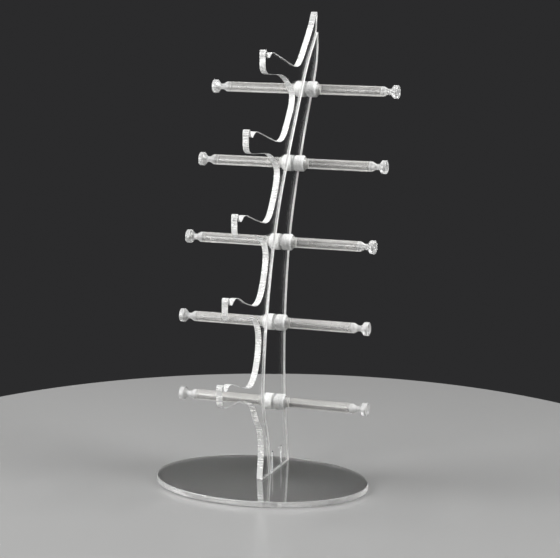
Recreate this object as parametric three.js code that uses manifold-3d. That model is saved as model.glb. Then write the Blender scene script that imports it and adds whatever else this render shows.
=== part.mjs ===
// Five-tier eyewear display stand in clear acrylic.
// Millimetres, +Z up. Origin: centre of the oval base, on its underside.
// +X runs along the rods, -Y is the side that the hooks face.
import * as THREE from "three";
import { mergeVertices } from "three/addons/utils/BufferGeometryUtils.js";
import Module from "manifold-3d";

// ---- driving dimensions -------------------------------------------------
const BASE_A = 87.5; // base oval, half width along X
const BASE_B = 64; // base oval, half depth along Y
const BASE_T = 4.5; // base plate thickness
const BASE_EDGE = 0.6; // polished bevel round both faces of the base
const STRIP_T = 5; // thickness of the hooked front strip
const SPINE_T = 6; // thickness of the spine plate
const JOINT = 0.4; // joint line between strip and spine
const FOOT_GAP = 0.2; // bond line under both plates
const Y0 = -4.2; // where the strip's toe stands on the base

const ROD_END = 80.9; // outer face of a knob, from the middle
const ROD_R = 4.2;
const COLLAR_R = 6.6;
const COLLAR_END = 10.0; // where the collar's full diameter stops
const KNOB_R = 5.5;
const NECK_R = 2.4;
const STUD_R = 2.8; // threaded stud through the spine
const STUD_END = 14;
const BORE_R = 3.15; // clearance round the stud
const FACE_GAP = 0.3; // collar face to plate face

const SCREW_R = 1.5; // countersunk screws up into the foot of the spine
const SCREW_HEAD_R = 3.2;
const SCREW_TIP = 21.0; // above the underside of the base
const SCREW_BORE_R = 1.8;
const SCREW_Y = [23.0, 43.0]; // behind the toe of the strip

// rod axes: distance behind the strip's toe, height above the base
const RODS = [
  [105.1, 304.0],
  [75.0, 246.3],
  [46.1, 185.9],
  [31.6, 122.6],
  [29.4, 57.4],
];

// nose of each hook: front face, top (same datum as the rods)
const HOOKS = [
  [7.5, 342.4],
  [-28.9, 284.1],
  [-53.3, 222.3],
  [-73.3, 161.3],
  [-85.5, 96.5],
];

// hook outline from its nose, rear to front over the top, then back underneath
const HOOK_TOP = [
  [24.8, -4.6], [20.6, -3.5], [16.6, -3.1], [13.0, -4.0], [10.0, -5.8], [8.4, -6.4], [6.6, -6.2],
  [5.0, -4.5], [3.9, -1.8], [3.0, -0.3], [1.8, 0.0], [0.6, -0.7], [0.0, -2.4],
];
const HOOK_UNDER = [
  [0.0, -7.0], [0.0, -12.6], [1.3, -16.0], [4.8, -18.5], [13.9, -20.1], [24.7, -21.1],
];

// strip front between one hook's underside and the next hook's rising shelf
const BAYS = [
  [[41.3, 320.6], [53.0, 317.6], [64.5, 311.4], [71.2, 305.8], [73.7, 302.3], [74.0, 298.6], [72.9, 294.8],
    [70.2, 290.5], [64.8, 283.6], [58.8, 276.3], [53.2, 271.0], [47.8, 268.4], [42.0, 267.6], [36.0, 268.2], [27.5, 270.3], [11.7, 274.9]],
  [[10.0, 261.6], [20.0, 259.2], [30.0, 254.0], [36.8, 248.2], [39.0, 243.5], [38.6, 239.0], [35.8, 231.8],
    [31.1, 223.6], [25.4, 215.4], [20.5, 210.4], [15.0, 207.6], [9.5, 206.9], [3.5, 207.8], [-0.7, 209.0], [-16.0, 213.4]],
  [[-14.0, 200.2], [-4.0, 197.6], [5.0, 193.2], [10.8, 187.8], [13.1, 182.6], [13.2, 177.0], [11.5, 169.8],
    [8.5, 162.3], [4.6, 154.6], [0.0, 149.0], [-5.5, 145.5], [-11.5, 144.4], [-17.0, 145.1], [-21.5, 146.4], [-36.0, 151.0]],
  [[-34.0, 139.0], [-23.0, 136.8], [-13.0, 132.6], [-7.0, 127.6], [-4.1, 122.0], [-3.0, 115.5], [-3.7, 107.6],
    [-6.3, 99.3], [-10.4, 91.2], [-15.5, 85.4], [-21.0, 82.3], [-26.5, 81.6], [-31.0, 82.3], [-35.5, 83.5], [-49.0, 87.5]],
];
const TIP = [[127.0, 366.0], [121.2, 357.4], [114.2, 349.6], [106.0, 341.2], [98.5, 333.9], [92.9, 328.8], [87.8, 325.8], [82.2, 324.6], [76.0, 324.9], [69.3, 326.5], [50.0, 332.5]];
const TOE = [[-52.1, 75.6], [-40.0, 73.7], [-31.4, 71.0], [-21.4, 66.4], [-15.9, 61.6], [-12.3, 55.8], [-8.7, 49.5], [-3.4, 43.4], [0.0, 37.4], [1.5, 30.5], [1.8, 23.4], [0.8, 12.2], [-0.4, 5.0], [-1.0, 0.0]];

// joint line between strip and spine, foot to top
const SEAM = [
  [17.6, 0.0], [16.0, 8.0], [14.2, 18.0], [12.8, 28.0], [10.0, 38.2], [5.8, 48.2], [2.8, 60.0], [2.3, 74.0],
  [3.6, 88.5], [5.7, 104.1], [8.2, 119.0], [11.0, 132.0], [14.2, 145.2], [17.7, 158.4], [21.5, 171.5],
  [26.6, 186.6], [32.6, 201.9], [38.8, 216.0], [45.2, 228.6], [52.3, 241.0], [59.8, 253.8], [67.0, 265.6],
  [74.5, 277.4], [81.6, 288.6], [88.1, 298.9], [93.8, 307.8], [99.4, 316.3], [105.2, 324.0], [111.8, 332.0],
  [119.1, 339.4], [125.0, 346.0],
];
// back edge of the spine, top to foot
const BACK = [
  [129.9, 349.0], [130.6, 340.5], [129.8, 331.0], [127.2, 321.2], [122.2, 310.6], [115.6, 299.0], [107.9, 285.6],
  [99.6, 270.6], [90.4, 252.6], [82.6, 236.6], [76.0, 221.4], [70.1, 206.6], [64.9, 191.8], [60.8, 176.5],
  [57.5, 160.4], [54.8, 143.0], [52.7, 126.0], [51.5, 109.5], [51.0, 92.0], [51.0, 75.0], [51.8, 58.0], [53.4, 40.0], [55.6, 24.0], [58.3, 8.5], [60.0, 0.0],
];

// ---- helpers --------------------------------------------------------------
const wasm = await Module();
wasm.setup();

const V2 = (p) => new THREE.Vector2(p[0], p[1]);

// smooth open curve through the points, a few samples to each span
function smooth(points, per = 2) {
  const c = new THREE.CatmullRomCurve3(points.map((p) => new THREE.Vector3(p[0], p[1], 0)), false, "centripetal");
  const n = points.length - 1;
  const out = [];
  for (let i = 0; i <= n * per; i++) {
    const q = c.getPoint(i / (n * per));
    out.push([q.x, q.y]);
  }
  return out;
}

// the same curve moved sideways, to its left as it is walked
function offset(points, d) {
  return points.map((p, i) => {
    const a = points[Math.max(i - 1, 0)];
    const b = points[Math.min(i + 1, points.length - 1)];
    const t = new THREE.Vector2(b[0] - a[0], b[1] - a[1]).normalize();
    return [p[0] - t.y * d, p[1] + t.x * d];
  });
}

function toSolid(geometry) {
  const g = geometry.index ? geometry.toNonIndexed() : geometry.clone();
  g.deleteAttribute("normal");
  g.deleteAttribute("uv");
  const m = mergeVertices(g, 1e-4);
  const pos = m.getAttribute("position").array;
  const idx = [];
  for (let i = 0; i < m.index.count; i += 3) {
    const [a, b, c] = [m.index.getX(i), m.index.getX(i + 1), m.index.getX(i + 2)];
    if (a !== b && b !== c && a !== c) idx.push(a, b, c);
  }
  return new wasm.Manifold(
    new wasm.Mesh({ numProp: 3, vertProperties: new Float32Array(pos), triVerts: new Uint32Array(idx) }),
  );
}

function fromSolid(solid) {
  const m = solid.getMesh();
  const g = new THREE.BufferGeometry();
  g.setAttribute("position", new THREE.BufferAttribute(new Float32Array(m.vertProperties), 3));
  g.setIndex(new THREE.BufferAttribute(new Uint32Array(m.triVerts), 1));
  g.computeVertexNormals();
  return g;
}

// plate lying in the YZ plane, centred on X = 0, from a (y, z) outline
function plate(outline, thickness) {
  const shape = new THREE.Shape(outline.map(V2));
  const g = new THREE.ExtrudeGeometry(shape, { depth: thickness, bevelEnabled: false, steps: 1 });
  g.translate(0, 0, -thickness / 2);
  // outline x -> Y, outline y -> Z, extrusion -> X
  g.applyMatrix4(new THREE.Matrix4().makeBasis(new THREE.Vector3(0, 1, 0), new THREE.Vector3(0, 0, 1), new THREE.Vector3(1, 0, 0)));
  return g;
}

// body of revolution about X from (x, r) points, walked so that its skin faces out
function turned(profile, segments) {
  const g = new THREE.LatheGeometry(profile.map((p) => new THREE.Vector2(p[1], p[0])), segments);
  g.rotateZ(-Math.PI / 2);
  return g;
}

function upright(profile, segments) {
  const g = new THREE.LatheGeometry(profile.map((p) => new THREE.Vector2(p[1], p[0])), segments);
  g.rotateX(Math.PI / 2);
  return g;
}

const ACRYLIC = { color: 0xe9eef0, roughness: 0.06, metalness: 0 };
const STEEL = { color: 0xb9bcc0, roughness: 0.32, metalness: 1 };
const stand = new THREE.Group();
function add(name, geometry, look = ACRYLIC) {
  const mesh = new THREE.Mesh(geometry, new THREE.MeshStandardMaterial(look));
  mesh.name = name;
  stand.add(mesh);
  return mesh;
}

const place = (points) => points.map((p) => [p[0] + Y0, p[1] + BASE_T]);

// ---- base plate -----------------------------------------------------------
{
  const n = 72;
  const ring = (inset) => {
    const out = [];
    for (let i = 0; i < n; i++) {
      const t = (i / n) * 2 * Math.PI;
      out.push([(BASE_A - inset) * Math.cos(t), (BASE_B - inset) * Math.sin(t)]);
    }
    return out;
  };
  const levels = [[0, BASE_EDGE], [BASE_EDGE, 0], [BASE_T - BASE_EDGE, 0], [BASE_T, BASE_EDGE]];
  const pos = [];
  for (const [z, inset] of levels) for (const [x, y] of ring(inset)) pos.push(x, y, z);
  const idx = [];
  for (let k = 0; k < levels.length - 1; k++)
    for (let i = 0; i < n; i++) {
      const a = k * n + i, b = k * n + ((i + 1) % n), c = a + n, d = b + n;
      idx.push(a, b, d, a, d, c);
    }
  const top = (levels.length - 1) * n;
  for (let i = 1; i < n - 1; i++) idx.push(0, i + 1, i, top, top + i, top + i + 1);
  const g = new THREE.BufferGeometry();
  g.setAttribute("position", new THREE.BufferAttribute(new Float32Array(pos), 3));
  g.setIndex(idx);
  let solid = toSolid(g);
  for (const y of SCREW_Y) {
    // through hole with a countersink on the underside
    const cut = upright([[-1, 0], [-1, SCREW_HEAD_R + 0.9], [0.35, SCREW_HEAD_R + 0.3], [2.4, SCREW_BORE_R + 0.1], [BASE_T + 1, SCREW_BORE_R + 0.1], [BASE_T + 1, 0]], 28);
    cut.translate(0, y + Y0, 0);
    solid = solid.subtract(toSolid(cut));
  }
  add("base_plate", fromSolid(solid));
}

// ---- hooked front strip ----------------------------------------------------
{
  const at = (list, h) => list.map((p) => [p[0] + h[0], p[1] + h[1]]);
  let front = [...TIP];
  HOOKS.forEach((h, i) => {
    front.push(...at(HOOK_TOP, h), ...at(HOOK_UNDER, h));
    front.push(...(i < BAYS.length ? BAYS[i] : TOE));
  });
  front = smooth(front, 2);
  const seam = offset(smooth(SEAM, 2), JOINT);
  const outline = [...front, ...seam, [128.0, 352.9], [128.6, 359.5], [128.8, 366.0]];
  const g = plate(place(outline).map((p) => [p[0], Math.max(p[1], BASE_T + FOOT_GAP)]), STRIP_T);
  add("hook_strip", fromSolid(toSolid(g)));
}

// ---- spine -------------------------------------------------------------------
{
  const outline = [...smooth(SEAM, 2), ...smooth(BACK, 2)];
  const g = plate(place(outline).map((p) => [p[0], Math.max(p[1], BASE_T + FOOT_GAP)]), SPINE_T);
  let solid = toSolid(g);
  for (const [y, z] of RODS) {
    const hole = turned([[-SPINE_T, 0], [-SPINE_T, BORE_R], [SPINE_T, BORE_R], [SPINE_T, 0]], 28);
    hole.translate(0, y + Y0, z + BASE_T);
    solid = solid.subtract(toSolid(hole));
  }
  for (const y of SCREW_Y) {
    // blind hole for a base screw
    const tap = upright([[0, 0], [0, SCREW_BORE_R], [SCREW_TIP + 0.2, SCREW_BORE_R], [SCREW_TIP + 1.6, 0]], 20);
    tap.translate(0, y + Y0, 0);
    solid = solid.subtract(toSolid(tap));
  }
  add("spine", fromSolid(solid));
}

// ---- base screws ---------------------------------------------------------------
SCREW_Y.forEach((y, i) => {
  const m = add(
    `base_screw_${i + 1}`,
    upright([[0.35, 0], [0.35, SCREW_HEAD_R - 0.1], [0.6, SCREW_HEAD_R], [2.3, SCREW_R], [SCREW_TIP - 1, SCREW_R], [SCREW_TIP, 0.5], [SCREW_TIP, 0]], 20),
    STEEL,
  );
  m.position.set(0, y + Y0, 0);
});

// ---- rod halves and their studs --------------------------------------------------
function rodHalf() {
  const x0 = SPINE_T / 2 + FACE_GAP;
  return [
    [STUD_END + 1, 0],
    [STUD_END + 1, BORE_R - 0.6],
    [STUD_END + 0.2, BORE_R],
    [x0, BORE_R],
    [x0, COLLAR_R - 0.4],
    [x0 + 0.4, COLLAR_R],
    [COLLAR_END, COLLAR_R],
    [COLLAR_END + 2.5, ROD_R],
    [ROD_END - 12.2, ROD_R],
    [ROD_END - 9.0, NECK_R],
    [ROD_END - 6.6, NECK_R],
    [ROD_END - 3.9, KNOB_R],
    [ROD_END - 0.6, KNOB_R],
    [ROD_END, KNOB_R - 0.6],
    [ROD_END, 0],
  ];
}
RODS.forEach(([y, z], i) => {
  for (const side of [1, -1]) {
    const m = add(`rod_${i + 1}_${side > 0 ? "right" : "left"}`, turned(rodHalf(), 24));
    m.position.set(0, y + Y0, z + BASE_T);
    if (side < 0) m.rotation.z = Math.PI;
  }
  const stud = add(
    `stud_${i + 1}`,
    turned([[-STUD_END, 0], [-STUD_END, STUD_R - 0.6], [-STUD_END + 0.6, STUD_R], [STUD_END - 0.6, STUD_R], [STUD_END, STUD_R - 0.6], [STUD_END, 0]], 20),
  );
  stud.position.set(0, y + Y0, z + BASE_T);
});

export default stand;
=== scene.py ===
import math

import bmesh
import bpy
from mathutils import Matrix, Vector
from mathutils.geometry import tessellate_polygon


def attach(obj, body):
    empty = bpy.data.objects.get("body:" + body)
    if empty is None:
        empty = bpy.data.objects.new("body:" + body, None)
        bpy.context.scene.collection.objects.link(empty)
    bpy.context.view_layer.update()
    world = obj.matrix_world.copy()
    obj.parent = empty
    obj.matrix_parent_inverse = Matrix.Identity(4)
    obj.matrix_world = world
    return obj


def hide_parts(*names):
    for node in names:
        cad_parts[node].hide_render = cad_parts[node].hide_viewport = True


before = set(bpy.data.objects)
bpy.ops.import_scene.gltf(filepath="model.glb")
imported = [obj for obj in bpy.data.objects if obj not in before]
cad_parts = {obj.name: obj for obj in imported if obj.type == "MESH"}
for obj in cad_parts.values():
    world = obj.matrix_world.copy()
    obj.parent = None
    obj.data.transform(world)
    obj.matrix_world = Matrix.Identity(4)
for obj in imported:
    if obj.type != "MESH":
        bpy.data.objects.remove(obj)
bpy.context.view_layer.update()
scene = bpy.context.scene

# ---- sizes shared with the CAD -------------------------------------------------
BASE_A, BASE_B, BASE_T = 87.5, 64.0, 4.5
SHEET_T = 5.0
SPINE_T = 6.0
JOINT = 0.4
FOOT_GAP = 0.2
Y0 = -4.2
ROD_END, ROD_R, COLLAR_R, COLLAR_END = 80.9, 4.2, 6.6, 10.0
KNOB_R, NECK_R = 5.5, 2.4
STUD_R, STUD_END, BORE_R = 2.8, 14.0, 3.15
FACE_GAP = 0.3
SCREW_R, SCREW_HEAD_R, SCREW_TIP, SCREW_BORE_R = 1.5, 3.2, 21.0, 1.8
SCREW_Y = [23.0, 43.0]

# rod axes: behind the strip's toe, above the base
RODS = [
    (105.1, 304.0), (75.0, 246.3), (46.1, 185.9), (31.6, 122.6), (29.4, 57.4),
]
# nose of each hook: front face, top
HOOKS = [
    (7.5, 342.4), (-28.9, 284.1), (-53.3, 222.3), (-73.3, 161.3), (-85.5, 96.5),
]
# hook outline from its nose, rear to front over the top
HOOK_TOP = [
    (24.8, -4.6), (20.6, -3.5), (16.6, -3.1), (13.0, -4.0), (10.0, -5.8), (8.4, -6.4), (6.6, -6.2), (5.0, -4.5),
    (3.9, -1.8), (3.0, -0.3), (1.8, 0.0), (0.6, -0.7), (0.0, -2.4),
]
# and back underneath
HOOK_UNDER = [
    (0.0, -7.0), (0.0, -12.6), (1.3, -16.0), (4.8, -18.5), (13.9, -20.1), (24.7, -21.1),
]
# strip front between one hook and the next
BAYS = [
    [
        (41.3, 320.6), (53.0, 317.6), (64.5, 311.4), (71.2, 305.8), (73.7, 302.3), (74.0, 298.6), (72.9, 294.8),
        (70.2, 290.5), (64.8, 283.6), (58.8, 276.3), (53.2, 271.0), (47.8, 268.4), (42.0, 267.6), (36.0, 268.2),
        (27.5, 270.3), (11.7, 274.9),
    ],
    [
        (10.0, 261.6), (20.0, 259.2), (30.0, 254.0), (36.8, 248.2), (39.0, 243.5), (38.6, 239.0), (35.8, 231.8),
        (31.1, 223.6), (25.4, 215.4), (20.5, 210.4), (15.0, 207.6), (9.5, 206.9), (3.5, 207.8), (-0.7, 209.0),
        (-16.0, 213.4),
    ],
    [
        (-14.0, 200.2), (-4.0, 197.6), (5.0, 193.2), (10.8, 187.8), (13.1, 182.6), (13.2, 177.0), (11.5, 169.8),
        (8.5, 162.3), (4.6, 154.6), (0.0, 149.0), (-5.5, 145.5), (-11.5, 144.4), (-17.0, 145.1), (-21.5, 146.4),
        (-36.0, 151.0),
    ],
    [
        (-34.0, 139.0), (-23.0, 136.8), (-13.0, 132.6), (-7.0, 127.6), (-4.1, 122.0), (-3.0, 115.5), (-3.7, 107.6),
        (-6.3, 99.3), (-10.4, 91.2), (-15.5, 85.4), (-21.0, 82.3), (-26.5, 81.6), (-31.0, 82.3), (-35.5, 83.5),
        (-49.0, 87.5),
    ],
]
# front edge at the tip, down to the first hook
TIP = [
    (127.0, 366.0), (121.2, 357.4), (114.2, 349.6), (106.0, 341.2), (98.5, 333.9), (92.9, 328.8), (87.8, 325.8),
    (82.2, 324.6), (76.0, 324.9), (69.3, 326.5), (50.0, 332.5),
]
# below the lowest hook
TOE = [
    (-52.1, 75.6), (-40.0, 73.7), (-31.4, 71.0), (-21.4, 66.4), (-15.9, 61.6), (-12.3, 55.8), (-8.7, 49.5),
    (-3.4, 43.4), (0.0, 37.4), (1.5, 30.5), (1.8, 23.4), (0.8, 12.2), (-0.4, 5.0), (-1.0, 0.0),
]
# joint line between strip and spine, foot to top
SEAM = [
    (17.6, 0.0), (16.0, 8.0), (14.2, 18.0), (12.8, 28.0), (10.0, 38.2), (5.8, 48.2), (2.8, 60.0), (2.3, 74.0),
    (3.6, 88.5), (5.7, 104.1), (8.2, 119.0), (11.0, 132.0), (14.2, 145.2), (17.7, 158.4), (21.5, 171.5),
    (26.6, 186.6), (32.6, 201.9), (38.8, 216.0), (45.2, 228.6), (52.3, 241.0), (59.8, 253.8), (67.0, 265.6),
    (74.5, 277.4), (81.6, 288.6), (88.1, 298.9), (93.8, 307.8), (99.4, 316.3), (105.2, 324.0), (111.8, 332.0),
    (119.1, 339.4), (125.0, 346.0),
]
# back edge of the spine, top to foot
BACK = [
    (129.9, 349.0), (130.6, 340.5), (129.8, 331.0), (127.2, 321.2), (122.2, 310.6), (115.6, 299.0), (107.9, 285.6),
    (99.6, 270.6), (90.4, 252.6), (82.6, 236.6), (76.0, 221.4), (70.1, 206.6), (64.9, 191.8), (60.8, 176.5),
    (57.5, 160.4), (54.8, 143.0), (52.7, 126.0), (51.5, 109.5), (51.0, 92.0), (51.0, 75.0), (51.8, 58.0),
    (53.4, 40.0), (55.6, 24.0), (58.3, 8.5), (60.0, 0.0),
]

# ---- studio ---------------------------------------------------------------------
FLOOR_TONE = (0.26, 0.26, 0.257)
FLOOR_ROUGH = 0.26
WORLD_TONE = (0.024, 0.024, 0.025)
PANELS = [
    ("panel_left", (-1.0, -0.30, 0.98), (0.7, 0.6), 24.0),
    ("panel_front", (-0.62, -1.25, 0.50), (0.7, 0.6), 13.0),
    ("panel_right", (1.0, 0.10, 0.98), (0.6, 0.6), 21.0),
    ("panel_back", (0.0, 1.1, 1.15), (1.7, 0.8), 3.0),
    ("panel_top", (0.1, -0.1, 1.5), (0.7, 0.5), 4.0),
]


# ---- outlines ---------------------------------------------------------------------
def smooth(points, per):
    """Centripetal Catmull-Rom curve through the points, per samples to a span."""
    p = [Vector(q) for q in points]
    n = len(p) - 1
    out = []
    for i in range(n * per + 1):
        k = min(i // per, n - 1)
        w = i / per - k
        p1, p2 = p[k], p[k + 1]
        p0 = p[k - 1] if k > 0 else p[0] * 2 - p[1]
        p3 = p[k + 2] if k + 2 <= n else p[n] * 2 - p[n - 1]
        d0, d1, d2 = (math.sqrt((b - a).length) for a, b in ((p0, p1), (p1, p2), (p2, p3)))
        d1 = d1 if d1 > 1e-4 else 1.0
        d0 = d0 if d0 > 1e-4 else d1
        d2 = d2 if d2 > 1e-4 else d1
        t1 = ((p1 - p0) / d0 - (p2 - p0) / (d0 + d1) + (p2 - p1) / d1) * d1
        t2 = ((p2 - p1) / d1 - (p3 - p1) / (d1 + d2) + (p3 - p2) / d2) * d1
        out.append(p1 + t1 * w + (-3 * p1 + 3 * p2 - 2 * t1 - t2) * w * w + (2 * p1 - 2 * p2 + t1 + t2) * w**3)
    return out


def sideways(points, d):
    out = []
    for i, q in enumerate(points):
        t = (points[min(i + 1, len(points) - 1)] - points[max(i - 1, 0)]).normalized()
        out.append(q + Vector((-t.y, t.x)) * d)
    return out


def place(points):
    """From the strip's toe to the row frame, kept off the base by the bond line."""
    return [Vector((q[0] + Y0, max(q[1] + BASE_T, BASE_T + FOOT_GAP))) for q in points]


def tidy(loop, least=0.03):
    out = [loop[0]]
    for q in loop[1:]:
        if (q - out[-1]).length > least:
            out.append(q)
    if (out[0] - out[-1]).length <= least:
        out.pop()
    area = sum(a.x * b.y - b.x * a.y for a, b in zip(out, out[1:] + out[:1]))
    return out if area > 0 else out[::-1]


def grown_in(loop, d):
    """The loop moved into the material, which lies to the left as it is walked."""
    out, n = [], len(loop)
    for i in range(n):
        a, b, c = loop[i - 1], loop[i], loop[(i + 1) % n]
        t1, t2 = (b - a).normalized(), (c - b).normalized()
        n1, n2 = Vector((-t1.y, t1.x)), Vector((-t2.y, t2.x))
        m = n1 + n2
        m = m.normalized() if m.length > 1e-6 else n1
        out.append(b + m * (d / max(m.dot(n1), 0.6)))
    return out


# ---- mesh helpers -----------------------------------------------------------------
def finish_mesh(name, bm, materials, flat_test=None, sharp_deg=38):
    """Faces out, smooth but for flat caps and hard corners."""
    bmesh.ops.recalc_face_normals(bm, faces=bm.faces)
    for f in bm.faces:
        f.smooth = not (flat_test and flat_test(f))
    for e in bm.edges:
        if len(e.link_faces) == 2:
            a, b = e.link_faces
            e.smooth = (a.smooth or b.smooth) and a.smooth == b.smooth and e.calc_face_angle(0) < math.radians(sharp_deg)
    mesh = bpy.data.meshes.new(name)
    bm.to_mesh(mesh)
    bm.free()
    for m in materials:
        mesh.materials.append(m)
    obj = bpy.data.objects.new(name, mesh)
    scene.collection.objects.link(obj)
    return obj


def levels(half, r, steps=4, inner=3):
    """(distance from the middle, inset) across a sheet edge with rounded corners."""
    low = []
    for k in range(steps + 1):
        a = math.pi / 2 * k / steps
        low.append((-half + r * (1 - math.sin(a)), r * (1 - math.cos(a))))
    low = sorted(set((round(x, 5), round(i, 5)) for x, i in low))
    mid = [(-half + r + (2 * half - 2 * r) * k / (inner + 1), 0.0) for k in range(1, inner + 1)]
    return low + mid + [(-x, i) for x, i in reversed(low)]


def sheet_piece(name, loops, half, r, to_xyz, materials, centre=0.0):
    """A flat sheet with holes: loops[0] is the outside, the others are holes walked the other way.
    Face material 0 on the two faces, 1 on the cut edges."""
    bm = bmesh.new()
    steps = levels(half, r)
    rings = []  # rings[loop][level] = verts
    for loop in loops:
        rows = []
        for x, inset in steps:
            pts = grown_in(loop, inset) if inset > 1e-6 else loop
            rows.append([bm.verts.new(Vector(to_xyz(centre + x, q.x, q.y)) / 1000) for q in pts])
        rings.append(rows)
        for a, b in zip(rows, rows[1:]):
            for i in range(len(loop)):
                j = (i + 1) % len(loop)
                f = bm.faces.new((a[i], a[j], b[j], b[i]))
                f.material_index = 1
    for level, flip in ((0, True), (-1, False)):
        pts, verts = [], []
        for rows, loop in zip(rings, loops):
            inset = steps[level][1]
            pts.append([Vector((q.x, q.y, 0)) for q in grown_in(loop, inset)])
            verts.extend(rows[level])
        for tri in tessellate_polygon(pts):
            t = [verts[k] for k in tri]
            if len(set(t)) == 3:
                try:
                    bm.faces.new(t[::-1] if flip else t)
                except ValueError:
                    pass
    return finish_mesh(name, bm, materials, flat_test=lambda f: f.material_index == 0)


def rounded(points, arc=5):
    """Profile points (x, r, corner radius, tag) with each corner turned to an arc."""
    out = []
    for i, (x, r, rad, tag) in enumerate(points):
        if rad <= 0 or i in (0, len(points) - 1):
            out.append((x, r, tag))
            continue
        p = Vector((x, r))
        a = Vector(points[i - 1][:2]) - p
        b = Vector(points[i + 1][:2]) - p
        ang = a.angle(b)
        t = min(rad / math.tan(ang / 2), a.length * 0.45, b.length * 0.45)
        rad = t * math.tan(ang / 2)
        a.normalize()
        b.normalize()
        c = p + (a + b).normalized() * (rad / math.sin(ang / 2))
        s, e = p + a * t - c, p + b * t - c
        for k in range(arc + 1):
            q = s.slerp(e, k / arc).normalized() * rad if s.angle(e) > 1e-4 else s
            out.append((c.x + q.x, c.y + q.y, tag))
    return out


def turned(name, profile, seg, materials, pitch=1.0, amp=0.0, span=None, upright=False, hand=1):
    """A lathed body from (x, r, material) points, with a helical thread cut where x lies in span and the
    point's tag is "thread". Ends on the axis."""
    bm = bmesh.new()
    rows = []
    for x, r, tag in profile:
        if r < 1e-6:
            rows.append([bm.verts.new((x / 1000, 0, 0))])
            continue
        row = []
        for k in range(seg):
            th = 2 * math.pi * k / seg
            rr = r
            if tag == "thread":
                fade = min(1.0, (x - span[0]) / pitch, (span[1] - x) / pitch)
                if fade > 0:
                    u = (x / pitch - hand * th / (2 * math.pi)) % 1.0
                    rr += amp * fade * (abs(2 * u - 1) * 2 - 1)
            row.append(bm.verts.new((x / 1000, rr / 1000 * math.cos(th), rr / 1000 * math.sin(th))))
        rows.append(row)
    for i, (a, b) in enumerate(zip(rows, rows[1:])):
        tags = (profile[i][2], profile[i + 1][2])
        index = 0
        if len(materials) > 1 and ("thread" in tags or "cut" in tags):
            index = 1
        elif len(materials) > 2 and "collar" in tags:
            index = 2
        elif len(materials) > 3 and "knob" in tags:
            index = 3
        for k in range(seg):
            j = (k + 1) % seg
            if len(a) == 1:
                f = bm.faces.new((a[0], b[k], b[j]))
            elif len(b) == 1:
                f = bm.faces.new((a[k], b[0], a[j]))
            else:
                f = bm.faces.new((a[k], b[k], b[j], a[j]))
            f.material_index = index
    if upright:
        for v in bm.verts:
            v.co = Vector((v.co.z, v.co.y, v.co.x))
    axis = 2 if upright else 0
    return finish_mesh(name, bm, materials, flat_test=lambda f: abs(f.normal[axis]) > 0.9995)


def cut(obj, cutter):
    """Takes the cutter out of the piece, and drops the cutter."""
    mod = obj.modifiers.new("cut", "BOOLEAN")
    mod.operation, mod.solver, mod.object = "DIFFERENCE", "EXACT", cutter
    bpy.context.view_layer.update()
    mesh = bpy.data.meshes.new_from_object(obj.evaluated_get(bpy.context.evaluated_depsgraph_get()))
    obj.modifiers.clear()
    mesh.name = obj.name
    obj.data = mesh
    bpy.data.objects.remove(cutter)
    return obj


# ---- materials ----------------------------------------------------------------------
def material(name, transmission, ior=1.49):
    m = bpy.data.materials.new(name)
    m.use_nodes = True
    nt = m.node_tree
    nt.nodes.clear()
    out = nt.nodes.new("ShaderNodeOutputMaterial")
    b = nt.nodes.new("ShaderNodeBsdfPrincipled")
    nt.links.new(b.outputs[0], out.inputs[0])
    b.inputs["Transmission Weight"].default_value = transmission
    b.inputs["IOR"].default_value = ior
    return m, nt, b


def noise(nt, scale, detail=3.0, rough=0.55, distortion=0.0):
    """Noise in the piece's own coordinates; scale is features per metre along each axis."""
    tc = nt.nodes.new("ShaderNodeTexCoord")
    mp = nt.nodes.new("ShaderNodeMapping")
    mp.inputs["Scale"].default_value = scale
    nt.links.new(tc.outputs["Object"], mp.inputs["Vector"])
    nz = nt.nodes.new("ShaderNodeTexNoise")
    nz.inputs["Scale"].default_value = 1.0
    nz.inputs["Detail"].default_value = detail
    nz.inputs["Roughness"].default_value = rough
    nz.inputs["Distortion"].default_value = distortion
    nt.links.new(mp.outputs["Vector"], nz.inputs["Vector"])
    return nz.outputs["Fac"]


def spread(nt, value, low, high, start=0.3, end=0.7):
    mr = nt.nodes.new("ShaderNodeMapRange")
    nt.links.new(value, mr.inputs["Value"])
    mr.inputs["From Min"].default_value = start
    mr.inputs["From Max"].default_value = end
    mr.inputs["To Min"].default_value = low
    mr.inputs["To Max"].default_value = high
    return mr.outputs["Result"]


def blend_of(nt, a, b, how="ADD"):
    n = nt.nodes.new("ShaderNodeMath")
    n.operation = how
    nt.links.new(a, n.inputs[0])
    nt.links.new(b, n.inputs[1])
    return n.outputs[0]


def ramp(nt, value, stops):
    r = nt.nodes.new("ShaderNodeValToRGB")
    nt.links.new(value, r.inputs["Fac"])
    e = r.color_ramp.elements
    while len(e) < len(stops):
        e.new(0.5)
    for el, (pos, col) in zip(e, stops):
        el.position = pos
        el.color = (*col, 1)
    return r.outputs["Color"]


def bump(nt, b, height, strength, distance):
    n = nt.nodes.new("ShaderNodeBump")
    n.inputs["Strength"].default_value = strength
    n.inputs["Distance"].default_value = distance
    nt.links.new(height, n.inputs["Height"])
    nt.links.new(n.outputs["Normal"], b.inputs["Normal"])


def polished_sheet():
    """Cast sheet face: clear, with faint handling haze and the slow waviness of cast acrylic."""
    m, nt, b = material("acrylic_face", 1.0)
    haze = noise(nt, (90, 90, 90), 4.0, 0.6)
    fine = noise(nt, (900, 900, 900), 2.0)
    nt.links.new(blend_of(nt, spread(nt, haze, 0.0, 0.035, 0.45, 0.75), spread(nt, fine, 0.0, 0.02, 0.55, 0.8)), b.inputs["Roughness"])
    nt.links.new(ramp(nt, haze, [(0.3, (0.985, 0.985, 0.98)), (0.8, (0.965, 0.968, 0.962))]), b.inputs["Base Color"])
    bump(nt, b, noise(nt, (22, 22, 22), 1.0), 0.06, 0.001)
    return m


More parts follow.
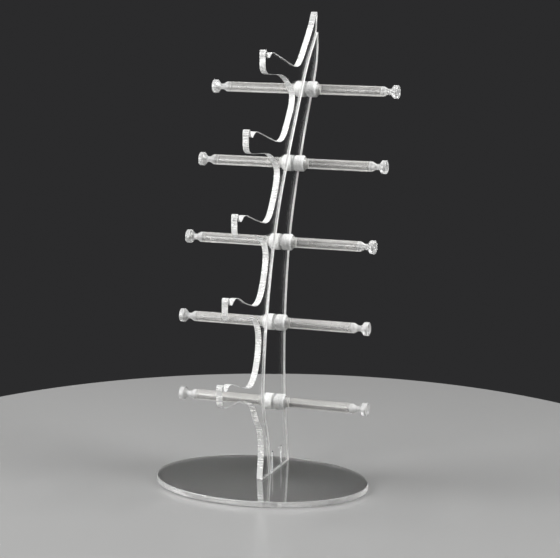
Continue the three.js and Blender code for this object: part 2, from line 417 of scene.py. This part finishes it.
def cut_edge(name, across, transmission=0.62, low=0.08, high=0.40, tone=(0.955, 0.955, 0.945)):
    """Laser-cut edge: fine lines that run straight across the sheet, with frosted and clearer stretches."""
    m, nt, b = material(name, transmission)
    fine = [1500.0] * 3
    fine[across] = 25.0
    wide = [700.0] * 3
    wide[across] = 30.0
    lines = noise(nt, fine, 3.0, 0.7)
    bands = noise(nt, wide, 2.0, 0.5)
    frost = noise(nt, (120, 120, 120), 3.0, 0.6)
    rough = blend_of(nt, spread(nt, lines, low * 0.5, high * 0.5), spread(nt, frost, low * 0.5, high * 0.5))
    nt.links.new(rough, b.inputs["Roughness"])
    nt.links.new(ramp(nt, bands, [(0.35, tuple(c * 0.93 for c in tone)), (0.65, tone)]), b.inputs["Base Color"])
    bump(nt, b, blend_of(nt, lines, bands), 0.2, 0.0001)
    return m


def turned_rod():
    """Turned rod: fine rings round it from the lathe and faint drawn streaks along it."""
    m, nt, b = material("acrylic_rod", 0.80)
    rings = noise(nt, (900, 40, 40), 1.0, 0.5)
    streaks = noise(nt, (6, 420, 420), 1.0, 0.5)
    haze = noise(nt, (160, 160, 160), 3.0)
    nt.links.new(blend_of(nt, spread(nt, streaks, 0.17, 0.24), spread(nt, haze, 0.0, 0.05, 0.4, 0.75)), b.inputs["Roughness"])
    nt.links.new(ramp(nt, streaks, [(0.3, (0.80, 0.79, 0.765)), (0.7, (0.87, 0.86, 0.835))]), b.inputs["Base Color"])
    bump(nt, b, blend_of(nt, rings, streaks), 0.04, 0.00004)
    return m


def polished_knob():
    """Neck and knob: turned, then flame polished, with a trace of the lathe's rings."""
    m, nt, b = material("acrylic_knob", 0.70)
    rings = noise(nt, (2200, 60, 60), 2.0, 0.6)
    haze = noise(nt, (400, 400, 400), 3.0)
    nt.links.new(blend_of(nt, spread(nt, rings, 0.02, 0.08), spread(nt, haze, 0.0, 0.07, 0.45, 0.75)), b.inputs["Roughness"])
    nt.links.new(ramp(nt, haze, [(0.3, (0.97, 0.97, 0.96)), (0.7, (1.0, 1.0, 0.995))]), b.inputs["Base Color"])
    bump(nt, b, rings, 0.12, 0.00008)
    return m


def collar_cut():
    """The collar's outside: coarsely faced and hand polished, so that it breaks the light up."""
    m, nt, b = material("acrylic_collar", 0.16)
    tc = nt.nodes.new("ShaderNodeTexCoord")
    cells = nt.nodes.new("ShaderNodeTexVoronoi")
    cells.inputs["Scale"].default_value = 900.0
    nt.links.new(tc.outputs["Object"], cells.inputs["Vector"])
    tear = noise(nt, (800, 500, 500), 4.0, 0.7)
    nt.links.new(spread(nt, tear, 0.03, 0.22), b.inputs["Roughness"])
    nt.links.new(ramp(nt, tear, [(0.38, (0.86, 0.86, 0.85)), (0.55, (1.0, 1.0, 0.99))]), b.inputs["Base Color"])
    bump(nt, b, blend_of(nt, cells.outputs["Distance"], tear), 0.9, 0.0007)
    return m


def thread_cut(name="acrylic_thread"):
    """Cut threads and blind bores: torn, frosty walls that scatter light."""
    m, nt, b = material(name, 0.4)
    tear = noise(nt, (700, 700, 700), 4.0, 0.7)
    nt.links.new(spread(nt, tear, 0.16, 0.5), b.inputs["Roughness"])
    nt.links.new(ramp(nt, tear, [(0.3, (0.93, 0.94, 0.94)), (0.7, (1.0, 1.0, 1.0))]), b.inputs["Base Color"])
    bump(nt, b, tear, 0.4, 0.0001)
    return m


def plated_steel():
    m, nt, b = material("zinc_plate", 0.0)
    b.inputs["Metallic"].default_value = 1.0
    grain = noise(nt, (800, 800, 800), 4.0, 0.65)
    wide = noise(nt, (150, 150, 150), 2.0)
    nt.links.new(spread(nt, grain, 0.22, 0.5), b.inputs["Roughness"])
    nt.links.new(ramp(nt, wide, [(0.3, (0.50, 0.51, 0.53)), (0.7, (0.72, 0.73, 0.74))]), b.inputs["Base Color"])
    bump(nt, b, grain, 0.2, 0.00005)
    return m


FACE = polished_sheet()
EDGE = cut_edge("acrylic_cut_edge", 0)
SPINE_EDGE = cut_edge("acrylic_spine_edge", 0, 0.14)
BASE_EDGE = cut_edge("acrylic_base_edge", 2, 0.74, 0.04, 0.26)
ROD = turned_rod()
KNOB = polished_knob()
COLLAR = collar_cut()
THREAD = thread_cut()
STEEL = plated_steel()

# ---- base plate -----------------------------------------------------------------------
n = 320
oval = [Vector((BASE_A * math.cos(2 * math.pi * i / n), BASE_B * math.sin(2 * math.pi * i / n))) for i in range(n)]
base = sheet_piece("base_oval", [oval], BASE_T / 2, 0.55, lambda t, u, v: (u, v, t), [FACE, BASE_EDGE], BASE_T / 2)
for y in SCREW_Y:
    sink = turned(
        "sink",
        [(-1.0, 0, ""), (-1.0, SCREW_HEAD_R + 0.9, ""), (0.35, SCREW_HEAD_R + 0.3, ""), (2.4, SCREW_BORE_R + 0.1, ""), (BASE_T + 1, SCREW_BORE_R + 0.1, ""), (BASE_T + 1, 0, "")],
        48, [BASE_EDGE], upright=True,
    )
    sink.location = (0, (y + Y0) / 1000, 0)
    cut(base, sink)

# ---- upright: hooked strip and spine ------------------------------------------------------
front = list(TIP)
for i, h in enumerate(HOOKS):
    front += [(q[0] + h[0], q[1] + h[1]) for q in HOOK_TOP + HOOK_UNDER]
    front += BAYS[i] if i < len(BAYS) else TOE
front = smooth(front, 6)
seam = smooth(SEAM, 4)
tip_end = [Vector((128.0, 352.9)), Vector((128.6, 359.5)), Vector((128.8, 366.0))]
outline = tidy(place(front + sideways(seam, JOINT) + tip_end))
strip = sheet_piece("hooked_strip", [outline], SHEET_T / 2, 0.30, lambda t, u, v: (t, u, v), [FACE, EDGE])

outline = tidy(place(seam + smooth(BACK, 4)))
bores = []
for y, z in RODS:
    bores.append([Vector((y + Y0 + BORE_R * math.cos(-2 * math.pi * k / 64), z + BASE_T + BORE_R * math.sin(-2 * math.pi * k / 64))) for k in range(64)])
spine = sheet_piece("spine_plate", [outline, *bores], SPINE_T / 2, 0.30, lambda t, u, v: (t, u, v), [FACE, SPINE_EDGE])
for y in SCREW_Y:
    p = [(0, 0, ""), (0, SCREW_BORE_R, "")]
    p += [(0.5 + 0.1 * k, SCREW_BORE_R - 0.12, "thread") for k in range(int((SCREW_TIP - 0.4) / 0.1))]
    p += [(SCREW_TIP + 0.2, SCREW_BORE_R - 0.1, ""), (SCREW_TIP + 1.4, 0, "")]
    tap = turned("tap", p, 32, [THREAD], pitch=0.5, amp=0.1, span=(0.5, SCREW_TIP), upright=True)
    tap.location = (0, (y + Y0) / 1000, 0)
    cut(spine, tap)

# ---- base screws ------------------------------------------------------------------------------
for i, y in enumerate(SCREW_Y):
    p = [(0.35, 0, ""), (0.35, SCREW_HEAD_R - 0.15, ""), (0.45, SCREW_HEAD_R - 0.03, ""), (0.62, SCREW_HEAD_R, ""), (2.25, SCREW_R, ""), (2.6, SCREW_R - 0.1, "")]
    p += [(2.7 + 0.0833 * k, SCREW_R - 0.15, "thread") for k in range(int((SCREW_TIP - 1.5 - 2.7) / 0.0833))]
    p += [(SCREW_TIP - 1.2, SCREW_R - 0.3, ""), (SCREW_TIP - 0.1, 0.55, ""), (SCREW_TIP, 0.35, ""), (SCREW_TIP, 0, "")]
    screw = turned(f"sunk_screw_{i + 1}", p, 32, [STEEL], pitch=0.5, amp=0.15, span=(2.7, SCREW_TIP - 1.4), upright=True)
    for turn in (0, 90):
        w, l = 0.42, 1.7
        bm = bmesh.new()
        bmesh.ops.create_cube(bm, size=1.0)
        for v in bm.verts:
            taper = 0.45 if v.co.z > 0 else 1.0
            v.co = Vector((v.co.x * 2 * l * taper, v.co.y * 2 * w * taper, 1.35 if v.co.z > 0 else -0.5)) / 1000
        bmesh.ops.rotate(bm, verts=bm.verts, cent=(0, 0, 0), matrix=Matrix.Rotation(math.radians(turn), 3, "Z"))
        cross = finish_mesh("cross", bm, [STEEL], flat_test=lambda f: True)
        cut(screw, cross)
    screw.location = (0, (y + Y0) / 1000, 0)
    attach(screw, "stand")
    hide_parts(f"base_screw_{i + 1}")

# ---- studs and rod halves -------------------------------------------------------------------------
p = [(-STUD_END, 0, ""), (-STUD_END, STUD_R - 0.75, ""), (-STUD_END + 0.5, STUD_R - 0.25, "")]
m = int((2 * STUD_END - 1.2) / 0.125)
p += [(-STUD_END + 0.6 + 0.125 * k, STUD_R - 0.25, "thread") for k in range(m + 1)]
p += [(STUD_END - 0.5, STUD_R - 0.25, ""), (STUD_END, STUD_R - 0.75, ""), (STUD_END, 0, "")]
stud_mesh = turned("stud", p, 48, [THREAD], pitch=1.0, amp=0.25, span=(-STUD_END + 0.5, STUD_END - 0.5))

x0 = SPINE_T / 2 + FACE_GAP
p = [(STUD_END + 1.0, 0, "cut"), (STUD_END + 0.1, BORE_R - 0.3, "cut")]
m = int((STUD_END - 0.2 - x0 - 0.4) / 0.1667)
p += [(STUD_END - 0.1 - 0.1667 * k, BORE_R - 0.05, "thread") for k in range(m + 1)]
p += [(x0 + 0.25, BORE_R + 0.05, "cut")]
outer = rounded(
    [
        (x0, BORE_R + 0.3, 0, "cut"),
        (x0, COLLAR_R, 0.5, "collar"),
        (COLLAR_END, COLLAR_R, 0.45, "collar"),
        (COLLAR_END + 2.5, ROD_R, 0.7, ""),
        (ROD_END - 12.2, ROD_R, 0.45, "knob"),
        (ROD_END - 9.0, NECK_R, 0.9, "knob"),
        (ROD_END - 6.6, NECK_R, 0.9, "knob"),
        (ROD_END - 3.9, KNOB_R, 0.25, "knob"),
        (ROD_END - 0.2, KNOB_R, 0.45, "knob"),
        (ROD_END, KNOB_R - 1.1, 0.2, "knob"),
        (ROD_END - 0.7, 2.4, 0.8, "knob"),
        (ROD_END - 0.9, 0.9, 0, "knob"),
    ]
)
# the shaft is divided along its length, and the knob's dished face ends in a small turned pip
shaft = []
for a, b in zip(outer, outer[1:]):
    shaft.append(a)
    k = int((b[0] - a[0]) / 2.0)
    shaft += [(a[0] + (b[0] - a[0]) * j / (k + 1), a[1] + (b[1] - a[1]) * j / (k + 1), a[2] if a[2] == b[2] else "") for j in range(1, k + 1)]
shaft.append(outer[-1])
shaft += [(ROD_END - 1.0, 0.5, "knob"), (ROD_END - 1.05, 0, "knob")]
rod_mesh = turned("rod", p + shaft, 64, [ROD, THREAD, COLLAR, KNOB], pitch=1.0, amp=0.2, span=(x0 + 0.3, STUD_END))

for i, (y, z) in enumerate(RODS):
    at = Vector((0, y + Y0, z + BASE_T)) / 1000
    stud = bpy.data.objects.new(f"threaded_stud_{i + 1}", stud_mesh.data.copy())
    scene.collection.objects.link(stud)
    stud.location = at
    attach(stud, "stand")
    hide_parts(f"stud_{i + 1}")
    for side in ("right", "left"):
        rod = bpy.data.objects.new(f"turned_rod_{i + 1}_{side}", rod_mesh.data.copy())
        scene.collection.objects.link(rod)
        rod.location = at
        rod.rotation_euler = (0, 0, 0 if side == "right" else math.pi)
        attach(rod, f"rod_{i + 1}_{side}")
        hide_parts(f"rod_{i + 1}_{side}")
bpy.data.objects.remove(stud_mesh)
bpy.data.objects.remove(rod_mesh)

for piece, node in ((base, "base_plate"), (strip, "hook_strip"), (spine, "spine")):
    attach(piece, "stand")
    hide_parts(node)

# ---- floor ----------------------------------------------------------------------------------------
bm = bmesh.new()
bmesh.ops.create_circle(bm, cap_ends=True, radius=0.38, segments=160)
mesh = bpy.data.meshes.new("floor")
bm.to_mesh(mesh)
bm.free()
floor = bpy.data.objects.new("floor", mesh)
scene.collection.objects.link(floor)
floor.location = (0, 0, -0.0003)
m, nt, b = material("floor", 0.0)
b.inputs["Roughness"].default_value = FLOOR_ROUGH
b.inputs["Base Color"].default_value = (*FLOOR_TONE, 1)
mesh.materials.append(m)

# ---- light ------------------------------------------------------------------------------------------
world = bpy.data.worlds.new("studio")
scene.world = world
world.use_nodes = True
world.node_tree.nodes["Background"].inputs[0].default_value = (*WORLD_TONE, 1)


def panel(name, at, size, power, target=(0, 0.01, 0.17)):
    light = bpy.data.lights.new(name, "AREA")
    light.shape = "RECTANGLE"
    light.size, light.size_y = size
    light.energy = power
    o = bpy.data.objects.new(name, light)
    scene.collection.objects.link(o)
    o.location = at
    o.rotation_euler = (Vector(target) - Vector(at)).to_track_quat("-Z", "Y").to_euler()


for args in PANELS:
    panel(*args)

# ---- camera -------------------------------------------------------------------------------------------
az, el = math.radians(20.37), math.radians(10.64)
look = Vector((-math.sin(az) * math.cos(el), math.cos(az) * math.cos(el), -math.sin(el)))
cam = bpy.data.objects.new("camera", bpy.data.cameras.new("camera"))
scene.collection.objects.link(cam)
cam.location = Vector((0.01721, -0.0042, 0.16892)) - look * 1.52895
cam.rotation_euler = look.to_track_quat("-Z", "Y").to_euler()
cam.data.sensor_width = 36
cam.data.lens = 125.34
cam.data.clip_start = 0.02
scene.camera = cam
scene.view_settings.view_transform = "Standard"
scene.cycles.max_bounces = 24
scene.cycles.transmission_bounces = 20
scene.cycles.glossy_bounces = 12
